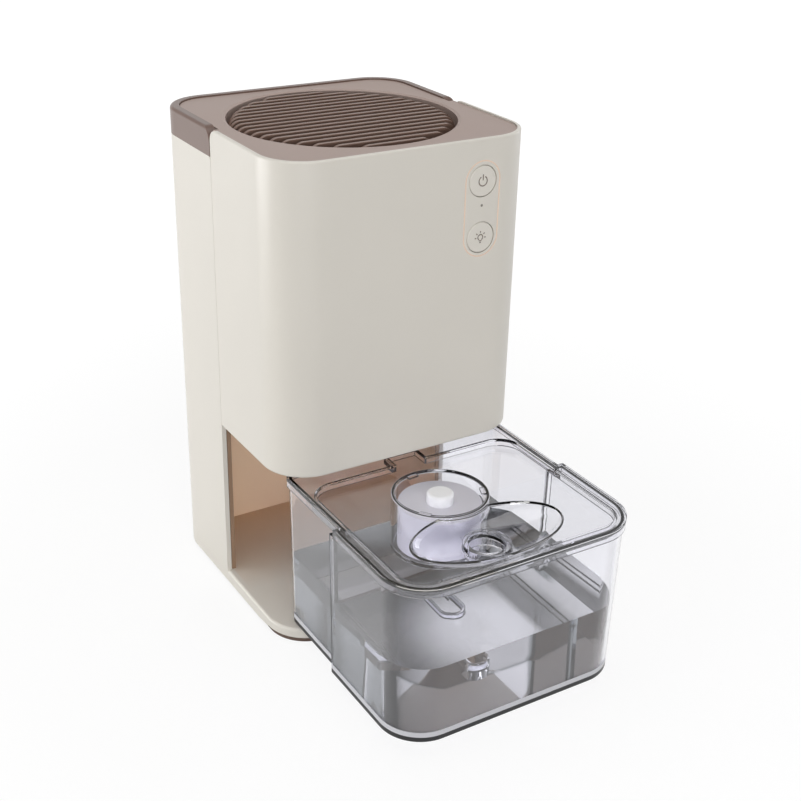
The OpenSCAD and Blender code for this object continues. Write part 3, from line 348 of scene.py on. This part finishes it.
# %% Dress the CAD nodes
FINISHES = {
    CREAM_ABS: ["front_shell", "rear_housing", "drip_tray"],
    BUTTON_ABS: ["power_button", "light_button"],
    BROWN_ABS: ["top_panel"],
    TRIM_ABS: ["rear_trim"],
    GRILLE_ABS: ["top_grille"],
    TAN_ABS: ["bay_liner"],
    FOOT_ABS: ["foot_plate", "bay_roof"],
    DUCT_PP: ["air_duct"],
    FAN_PBT: ["fan_frame", "fan_rotor"],
    JACK_NYLON: ["power_jack", "tact_switches"],
    FLOAT_PP: ["float_body"],
    KNOB_PP: ["float_knob"],
    DIFFUSER: ["light_window"],
    LIGHT_PIPE: ["status_light"],
    PAD_RUBBER: ["anti_slip_pads"],
    CERAMIC: ["cooling_module"],
    FOAM: ["insulation_frame"],
    COPPER: ["button_bezel"],
    ZINC: ["foot_screws", "housing_screws", "fan_screws", "board_screws", "fan_motor"],
    ALUMINIUM: ["hot_heat_sink", "cold_heat_sink"],
    MAGNET: ["fan_magnet", "float_magnet"],
    GREEN_BOARD: ["control_board", "level_sensor"],
    WHITE_BOARD: ["night_light_board"],
    CLEAR_PS: ["tank_body", "tank_lid", "float_well"],
}
for finish, names in FINISHES.items():
    for name in names:
        slots = NODES[name].data.materials
        slots.clear()
        slots.append(finish)
print("dressed:", sum(len(names) for names in FINISHES.values()))

# %% [markdown]
# ## Softened mouldings
#
# No moulded edge is sharp: the tool leaves a radius of a few tenths of a millimetre, and on clear
# plastic that radius draws bright and dark lines along every rim, which here are painted on it. A Bevel
# modifier could round the CAD node itself, but its loose triangles share no edges. So each of these
# pieces is a copy of its CAD solid, with its doubles merged, its flat faces joined and its edges
# bevelled. The bevel faces take the second finish, a painted dark or pale line on the clear pieces.
# The copy rides on the same body and stands for the CAD node.


# %% Softened copies
SHARP_DEG = 50


def finished(bm, name, finishes, body):
    """Turns a bmesh into an object that rides on a body. Big faces keep their own normals."""
    mesh = bpy.data.meshes.new(name)
    bm.to_mesh(mesh)
    bm.free()
    for finish in finishes:
        mesh.materials.append(finish)
    mesh.shade_smooth()
    mesh.set_sharp_from_angle(angle=math.radians(SHARP_DEG))
    piece = bpy.data.objects.new(name, mesh)
    bpy.context.scene.collection.objects.link(piece)
    flat_first = piece.modifiers.new("flat_faces_first", "WEIGHTED_NORMAL")
    flat_first.keep_sharp = True
    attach(piece, body)
    print(name, len(mesh.polygons), "faces")
    return piece


def merged_copy(node):
    """The mesh of a CAD node with its doubles merged and its flat faces joined."""
    bm = bmesh.new()
    bm.from_mesh(NODES[node].data)
    bmesh.ops.remove_doubles(bm, verts=bm.verts, dist=0.002 * MM)
    bmesh.ops.dissolve_limit(bm, angle_limit=math.radians(0.5), verts=bm.verts, edges=bm.edges,
                             use_dissolve_boundaries=False)
    return bm


def softened(node, radius_mm, finishes, body, mark=None):
    """finishes are those of the faces, of the rounded edges, and of whatever mark(bm) picks out."""
    bm = merged_copy(node)
    sharp = [e for e in bm.edges
             if len(e.link_faces) == 2 and e.calc_face_angle(0) > math.radians(SHARP_DEG)]
    # Short edges lie beside the long ones, and a clamped bevel would shrink to suit the shortest
    made = bmesh.ops.bevel(bm, geom=sharp, offset=radius_mm * MM, offset_type="OFFSET", affect="EDGES",
                           segments=2, profile=0.5, material=-1, clamp_overlap=False)
    # The rounded edges take the second finish: on the clear pieces a painted dark or pale edge line.
    for face in made["faces"]:
        face.material_index = 1
    bmesh.ops.recalc_face_normals(bm, faces=bm.faces)
    if mark:
        bm.normal_update()
        mark(bm)
    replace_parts(finished(bm, node + "_moulded", finishes, body), node)


# %% [markdown]
# ## Painted lines on the tank and its lid
#
# The tank's floor is thick, and seen from outside it ends in a dark line at the foot with a pale strip
# above it; both are painted, as a near-black band and a milky pale band. Two cuts through the tank's
# mesh give the outer wall faces of just those heights. On the lid the painted dark edge lines belong to
# the rim: round the drip bowl and over the float they stay clear.

# %% Painted lines and the softened pieces
TANK_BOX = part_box("tank_body")
TANK_MID = (TANK_BOX[0][1] + TANK_BOX[1][1]) / 2
# Tops of the painted near-black band at the tank's foot and of the painted pale band above it.
PAINTED_DARK_BAND_TOP = TANK_BOX[0][2] + 4.2 * MM
PAINTED_PALE_BAND_TOP = TANK_BOX[0][2] + 7.0 * MM
CLEAR_SIDE = 52 * MM
CLEAR_FRONT, CLEAR_BACK = -162 * MM, -72 * MM


def paint_foot_bands(bm):
    for height in (PAINTED_DARK_BAND_TOP, PAINTED_PALE_BAND_TOP):
        bmesh.ops.bisect_plane(bm, geom=bm.verts[:] + bm.edges[:] + bm.faces[:], dist=1e-6,
                               plane_co=(0, 0, height), plane_no=(0, 0, 1))
    for face in bm.faces:
        at = face.calc_center_median()
        outward = face.normal.x * at.x + face.normal.y * (at.y - TANK_MID)
        if at.z < PAINTED_PALE_BAND_TOP and outward > 1 * MM:
            # Outer wall faces are painted near black below the line, and milky pale up to the strip.
            face.material_index = 3 if at.z < PAINTED_DARK_BAND_TOP else 2


def clear_middle(bm):
    for face in bm.faces:
        at = face.calc_center_median()
        if abs(at.x) < CLEAR_SIDE and CLEAR_FRONT < at.y < CLEAR_BACK:
            face.material_index = 0


# Painted edge lines: dark on the lid and the tank, pale on the float well. Painted bands on the tank's foot.
softened("tank_lid", 0.22, [CLEAR_PS, PAINTED_DARK_EDGE], "tank", mark=clear_middle)
softened("tank_body", 0.3, [CLEAR_PS, PAINTED_DARK_EDGE, PAINTED_PALE_RIM, PAINTED_DARK_FOOT], "tank",
         mark=paint_foot_bands)
softened("float_well", 0.3, [CLEAR_PS, PAINTED_PALE_RIM], "tank")
softened("top_grille", 0.25, [GRILLE_ABS], "root")

# %% [markdown]
# ## Water in the tank
#
# Some water has dripped in. Its shape is whatever the tank leaves free, so it is cut out of the
# tank's own mesh: everything above the water line goes, the part that holds the tank's floor is
# kept, the open top is closed, and the skin is drawn in by a hair so that the two never coincide.

# %% Water
WATER_LINE = 51.5 * MM
WATER_GAP = 0.08 * MM

bm = merged_copy("tank_body")
bmesh.ops.bisect_plane(bm, geom=bm.verts[:] + bm.edges[:] + bm.faces[:], dist=1e-6,
                       plane_co=(0, 0, WATER_LINE), plane_no=(0, 0, 1), clear_outer=True)
floor_face = max((f for f in bm.faces if f.normal.z > 0.9), key=lambda f: f.calc_area())
inside = {floor_face}
reached = [floor_face]
while reached:
    for edge in reached.pop().edges:
        for face in edge.link_faces:
            if face not in inside:
                inside.add(face)
                reached.append(face)
bmesh.ops.delete(bm, geom=[f for f in bm.faces if f not in inside], context="FACES")
bmesh.ops.contextual_create(bm, geom=[e for e in bm.edges if e.is_boundary])
bmesh.ops.recalc_face_normals(bm, faces=bm.faces)
bm.normal_update()
for vert in bm.verts:
    vert.co -= vert.normal * WATER_GAP
finished(bm, "collected_water", [WATER], "tank")

# %% [markdown]
# ## Signs on the buttons
#
# The signs are pad-printed in brown ink: a power sign on the upper button, and a lamp with rays on
# the lower one. Strokes are flat strips, an arc being an edge that is spun round, and all strips are
# given the thickness of a film of ink, so that they lie on the button and move with it.

# %% Strokes
STROKE = 0.55 * MM
INK = 0.03 * MM
INK_GAP = 0.01 * MM


def arc_strip(bm, radius_mm, start_deg, sweep_deg):
    """A flat arc in the XZ plane, as wide as a stroke. Degrees run from +X towards +Z."""
    turn = Matrix.Rotation(-math.radians(start_deg), 3, "Y")
    ends = [bm.verts.new(turn @ Vector((radius_mm * MM + side * STROKE / 2, 0, 0))) for side in (-1, 1)]
    edge = bm.edges.new(ends)
    bmesh.ops.spin(bm, geom=ends + [edge], cent=(0, 0, 0), axis=(0, -1, 0),
                   angle=math.radians(sweep_deg), steps=int(sweep_deg / 8))


def bar_strip(bm, start_mm, end_mm):
    """A flat bar in the XZ plane from start to end."""
    start, end = (Vector((x, 0, z)) * MM for x, z in (start_mm, end_mm))
    side = (end - start).normalized().cross(Vector((0, 1, 0))) * STROKE / 2
    bm.faces.new([bm.verts.new(p) for p in (start - side, start + side, end + side, end - side)])


def power_strokes(bm):
    arc_strip(bm, 2.35, 118, 304)
    bar_strip(bm, (0, 0.4), (0, 3.3))


def lamp_strokes(bm):
    arc_strip(bm, 1.4, -62, 304)
    bar_strip(bm, (-0.75, -1.75), (0.75, -1.75))
    bar_strip(bm, (-0.5, -2.6), (0.5, -2.6))
    for ray_deg in (-5, 40, 90, 140, 185):
        along = Vector((math.cos(math.radians(ray_deg)), math.sin(math.radians(ray_deg))))
        bar_strip(bm, along * 2.3, along * 3.2)


# %% Printed signs
def ink_sign(name, draw_strokes, button):
    low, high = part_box(button)
    bm = bmesh.new()
    draw_strokes(bm)
    bmesh.ops.recalc_face_normals(bm, faces=bm.faces)
    bmesh.ops.reverse_faces(bm, faces=[f for f in bm.faces if f.normal.y > 0])
    extruded = bmesh.ops.extrude_face_region(bm, geom=bm.faces[:])
    moved = [v for v in extruded["geom"] if isinstance(v, bmesh.types.BMVert)]
    bmesh.ops.translate(bm, verts=moved, vec=(0, -INK, 0))
    bmesh.ops.recalc_face_normals(bm, faces=bm.faces)
    centre = Vector(((low[0] + high[0]) / 2, low[1] - INK_GAP, (low[2] + high[2]) / 2))
    bmesh.ops.translate(bm, verts=bm.verts, vec=centre)
    finished(bm, name, [PRINT_INK], button)


ink_sign("power_sign", power_strokes, "power_button")
ink_sign("lamp_sign", lamp_strokes, "light_button")

# %% [markdown]
# ## Studio: who sees the white
#
# The floor and the backdrop look white, yet white all round would flood the object with light. A
# Light Path node tells apart the rays that look at the studio from those that carry its light. The
# camera, mirror rays and rays through glass see white; light that bounces meets a greyer studio.

# %% Rays that see the white
WHITE = (1, 1, 1, 1)
SEEN = ("Is Camera Ray", "Is Glossy Ray", "Is Transmission Ray")
THROUGH = ("Is Glossy Ray", "Is Transmission Ray")


def ray_share(material, *rays):
    """A socket that is 1 for any of the named rays, and 0 for all others."""
    paths = add_node(material, "ShaderNodeLightPath")
    share = paths.outputs[rays[0]]
    for ray in rays[1:]:
        share = add_node(material, "ShaderNodeMath", {"operation": "MAXIMUM"},
                         {0: share, 1: paths.outputs[ray]}).outputs[0]
    return share


# %% [markdown]
# ## Floor
#
# A matt white table, with the object's soft shadow on it. What lies close under the object has a
# painted shadow when it is seen through the tank or mirrored, like the shade on a real table, and
# Ambient Occlusion finds those places. Two lighter places are painted into that dark: a round pool of
# light, standing for what the water gathers, which stops short at the right, and a strip along the
# tank's front.

# %% Floor
BOUNCE = (0.52, 0.52, 0.52, 1)      # what the floor throws back onto the object
SHADOW_GREY = 0.16                  # how strongly lamps and shadows show on it
# Middle of the painted pool of light.
PAINTED_POOL_AT = (18 * MM, -122 * MM, 0)

bpy.ops.mesh.primitive_plane_add(size=8)
floor = bpy.context.object
floor.name = "studio_floor"
table = bpy.data.materials.new("matt_white_floor")
table.use_nodes = True
table.node_tree.nodes.remove(table.node_tree.nodes["Principled BSDF"])
floor.data.materials.append(table)

points = add_node(table, "ShaderNodeTexCoord").outputs["Object"]
away = add_node(table, "ShaderNodeVectorMath", {"operation": "LENGTH"}, {0: points})
lift = add_node(table, "ShaderNodeMapRange", {},
                {"Value": away.outputs["Value"], "From Min": 0.2, "From Max": 0.8,
                 "To Min": 0.86, "To Max": 1.0})
# Painted pool of light, cut off at the right.
from_painted_pool = add_node(table, "ShaderNodeVectorMath", {"operation": "DISTANCE"}, {0: points, 1: PAINTED_POOL_AT})
painted_pool = add_node(table, "ShaderNodeMapRange", {"interpolation_type": "SMOOTHSTEP"},
                 {"Value": from_painted_pool.outputs["Value"], "From Min": 12 * MM, "From Max": 55 * MM,
                  "To Min": 0.8, "To Max": 0.06})
painted_pool_cut = add_node(table, "ShaderNodeMath", {"operation": "MULTIPLY"},
                     {0: painted_pool.outputs["Result"], 1: run_along(table, "X", 37, 42, 1.0, 0.08)})
# Painted lighter strip along the tank's front.
painted_lighter_places = add_node(table, "ShaderNodeMath", {"operation": "MAXIMUM"},
                    {0: painted_pool_cut.outputs[0], 1: run_along(table, "Y", -154, -144, 0.6, 0.0)})
# Painted shadow where Ambient Occlusion finds covered floor, for see-through and mirror rays.
covered = add_node(table, "ShaderNodeAmbientOcclusion", {"samples": 8}, {"Distance": 100 * MM})
painted_shadow_under = add_node(table, "ShaderNodeMapRange", {},
                 {"Value": covered.outputs["AO"], "From Min": 0.0, "From Max": 0.8,
                  "To Min": painted_lighter_places.outputs[0], "To Max": 1.0})
painted_shadow = add_node(table, "ShaderNodeMix", {"data_type": "FLOAT"},
                 {0: ray_share(table, *THROUGH), 2: 1.0, 3: painted_shadow_under.outputs["Result"]})
print("floor nodes so far:", len(table.node_tree.nodes))

# %% Floor shaders
# The painted shadow darkens both the lamp-lit part and the glow.
grey = add_node(table, "ShaderNodeMath", {"operation": "MULTIPLY"}, {0: painted_shadow.outputs[0], 1: SHADOW_GREY})
shaded = add_node(table, "ShaderNodeBsdfDiffuse", {}, {"Color": grey.outputs[0]})
strength = add_node(table, "ShaderNodeMath", {"operation": "MULTIPLY"},
                    {0: lift.outputs["Result"], 1: painted_shadow.outputs[0]})
glow = add_node(table, "ShaderNodeEmission", {}, {"Color": WHITE, "Strength": strength.outputs[0]})
looks = add_node(table, "ShaderNodeAddShader", {}, {0: shaded.outputs[0], 1: glow.outputs[0]})
bounce = add_node(table, "ShaderNodeBsdfDiffuse", {}, {"Color": BOUNCE})
either = add_node(table, "ShaderNodeMixShader", {},
                  {0: ray_share(table, *SEEN), 1: bounce.outputs[0], 2: looks.outputs[0]})
link(table, either.outputs[0], table.node_tree.nodes["Material Output"].inputs["Surface"])
print("floor:", table.name)

# %% [markdown]
# ## World
#
# A white backdrop stands behind the object and the room in front of it is dark, so that clear edges
# find something dark to bend. The camera itself finds white on every side. A dot product with the
# backdrop's direction tells how far a ray looks towards it.

# %% World
BACKDROP_WAY = (0.45, 0.8, -0.4)
ROOM_DARK = 0.1
AMBIENT = 0.22

world = bpy.data.worlds.new("studio_world")
bpy.context.scene.world = world
world.use_nodes = True
world.node_tree.nodes.clear()
looking = add_node(world, "ShaderNodeTexCoord").outputs["Generated"]
towards = add_node(world, "ShaderNodeVectorMath", {"operation": "DOT_PRODUCT"}, {0: looking, 1: BACKDROP_WAY})
room = add_node(world, "ShaderNodeMapRange", {},
                {"Value": towards.outputs["Value"], "From Min": 0.1, "From Max": 0.8,
                 "To Min": ROOM_DARK, "To Max": 1.0})
white_ahead = add_node(world, "ShaderNodeMath", {"operation": "MAXIMUM"},
                       {0: room.outputs["Result"], 1: ray_share(world, "Is Camera Ray")})
backdrop = add_node(world, "ShaderNodeBackground", {}, {"Color": WHITE, "Strength": white_ahead.outputs[0]})
ambient = add_node(world, "ShaderNodeBackground", {}, {"Color": WHITE, "Strength": AMBIENT})
either = add_node(world, "ShaderNodeMixShader", {},
                  {0: ray_share(world, *SEEN), 1: ambient.outputs[0], 2: backdrop.outputs[0]})
sky = add_node(world, "ShaderNodeOutputWorld")
link(world, either.outputs[0], sky.inputs["Surface"])
print("world nodes:", len(world.node_tree.nodes))

# %% [markdown]
# ## Lamps
#
# Four soft boxes light the object: a big one above, a low one at the left, one in front that reaches
# past the tank into its bay, and a weak one at the right. None of them stands where the top panel or
# the water would mirror it to the camera.


# %% Soft boxes
def soft_box(name, at, aim, width, height, watts):
    """A rectangular lamp. Places and sizes are in metres."""
    lamp = bpy.data.lights.new(name, "AREA")
    lamp.shape = "RECTANGLE"
    lamp.size = width
    lamp.size_y = height
    lamp.energy = watts
    box = bpy.data.objects.new(name, lamp)
    box.location = at
    box.rotation_mode = "QUATERNION"
    box.rotation_quaternion = (Vector(aim) - Vector(at)).to_track_quat("-Z", "Y")
    bpy.context.scene.collection.objects.link(box)
    print(name, watts, "W")


MIDDLE = (0, 0, 0.13)
soft_box("top_box", (-0.1, -0.1, 1.3), MIDDLE, 1.2, 1.2, 7.2)
soft_box("left_box", (-0.8, 0.45, 0.1), (0, 0, 0.06), 0.6, 0.3, 4.8)
soft_box("bay_box", (-0.47, -1.37, 0.36), (0, 0, 0.05), 0.6, 0.3, 7.1)
soft_box("right_box", (1.3, 0.0, 0.3), MIDDLE, 0.6, 0.6, 2.6)
